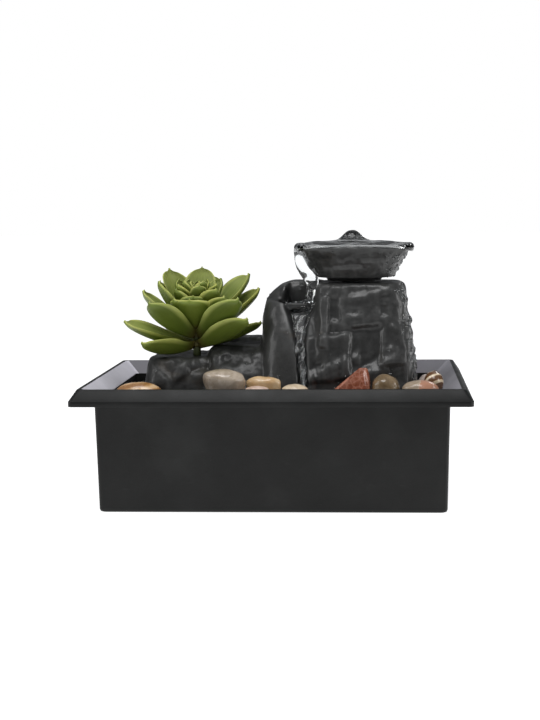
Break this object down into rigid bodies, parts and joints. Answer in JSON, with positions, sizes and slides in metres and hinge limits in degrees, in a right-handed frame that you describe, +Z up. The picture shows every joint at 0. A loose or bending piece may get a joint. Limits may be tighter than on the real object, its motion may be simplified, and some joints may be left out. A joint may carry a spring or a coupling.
{
  "type": "tabletop water fountain",
  "caption": "Tabletop water fountain: dark basin with a wide lip, cast rock with catch cup and top bowl, succulent, loose pebbles and a hidden pump.",
  "frame": {"origin": "centre of the basin's underside, on the surface it stands on", "axes": "+X to the right along the basin's long side, +Y to the back, +Z up"},
  "size_m": [0.21, 0.145, 0.1384],
  "materials": {
    "basin_plastic": "charcoal moulded plastic, fine matt grain, smoother on the lip",
    "deck_plastic": "black moulded plastic",
    "clear_tube": "clear flexible tube",
    "wet_rock": "cast resin rock, dark charcoal, wet and glossy with paler raised edges",
    "nozzle_plastic": "black plastic",
    "stem_plastic": "green soft plastic",
    "leaf_plastic": "soft green plastic leaf, satin, paler yellow-green rims, reddish base",
    "pump_plastic": "dark grey moulded plastic",
    "rubber": "soft dark rubber",
    "seal_rubber": "red silicone",
    "core_steel": "laminated sheet steel, varnished edges",
    "coil_copper": "enamelled copper winding",
    "ferrite": "dark sintered ferrite",
    "white_plastic": "white moulded plastic",
    "shaft_ceramic": "ground white ceramic",
    "screw_steel": "stainless steel",
    "pebble_tan": "polished banded stone, tan and orange",
    "pebble_grey": "polished beige-grey stone",
    "pebble_cream": "polished cream stone",
    "pebble_pink": "polished pale pink stone",
    "pebble_brick": "polished brick-red stone",
    "pebble_olive": "polished brown-olive stone",
    "pebble_two_tone": "polished stone, half speckled grey-cream and half pink-orange",
    "pebble_striped": "polished brown stone with cream stripes",
    "pebble_white": "polished whitish stone with a pink cast"
  },
  "bodies": {
    "basin": {"basin": "basin_plastic", "pump_housing": "pump_plastic", "pump_rear_cover": "pump_plastic", "cover_screws": "screw_steel", "cable_gland": "rubber", "suction_cups": "rubber", "stator_core": "core_steel", "stator_coil": "coil_copper", "front_bush": "shaft_ceramic", "rear_bush": "shaft_ceramic", "chamber_cover": "pump_plastic", "chamber_seal": "seal_rubber"},
    "deck": {"deck": "deck_plastic", "riser_tube": "clear_tube", "rock": "wet_rock", "pebble_brick_wedge": "pebble_brick", "pebble_tan_flat": "pebble_tan", "pebble_grey_buff": "pebble_grey", "pebble_cream_bean": "pebble_cream", "pebble_pale_pink": "pebble_pink", "pebble_cream": "pebble_cream", "pebble_olive": "pebble_olive", "pebble_two_tone": "pebble_two_tone", "pebble_striped_brown": "pebble_striped", "pebble_white_pink": "pebble_white", "pebble_right_grey": "pebble_grey", "pebble_rear_buff": "pebble_grey", "pebble_rear_olive": "pebble_olive", "pebble_rear_brick": "pebble_brick", "pebble_rear_cream": "pebble_cream", "pebble_rear_brown": "pebble_olive", "pebble_rear_pink": "pebble_pink"},
    "bowl": {"top_bowl": "wet_rock", "outlet_nozzle": "nozzle_plastic"},
    "plant": {"plant_stem": "stem_plastic", "leaves_outer": "leaf_plastic", "leaves_lower": "leaf_plastic", "leaves_middle": "leaf_plastic", "leaves_upper": "leaf_plastic", "leaf_heart": "leaf_plastic"},
    "cover": {"intake_cover": "pump_plastic"},
    "slider": {"flow_slider": "white_plastic"},
    "rotor": {"rotor_magnet": "ferrite", "impeller": "white_plastic", "rotor_shaft": "shaft_ceramic"}
  },
  "joints": [
    {"name": "deck_lift", "type": "slide", "parent": "basin", "child": "deck", "axis": [0, 0, 1], "range_m": [0, 0.075]},
    {"name": "bowl_lift", "type": "slide", "parent": "deck", "child": "bowl", "axis": [0, 0, 1], "range_m": [0, 0.03]},
    {"name": "plant_pull", "type": "slide", "parent": "deck", "child": "plant", "axis": [0, 0, 1], "range_m": [0, 0.03]},
    {"name": "cover_pull", "type": "slide", "parent": "basin", "child": "cover", "axis": [0, -1, 0], "range_m": [0, 0.02]},
    {"name": "flow_slide", "type": "slide", "parent": "cover", "child": "slider", "axis": [1, 0, 0], "range_m": [0, 0.006]},
    {"name": "rotor_spin", "type": "hinge", "parent": "basin", "child": "rotor", "pos_m": [0.0415, 0, 0.023], "axis": [0, 1, 0], "continuous": true}
  ]
}
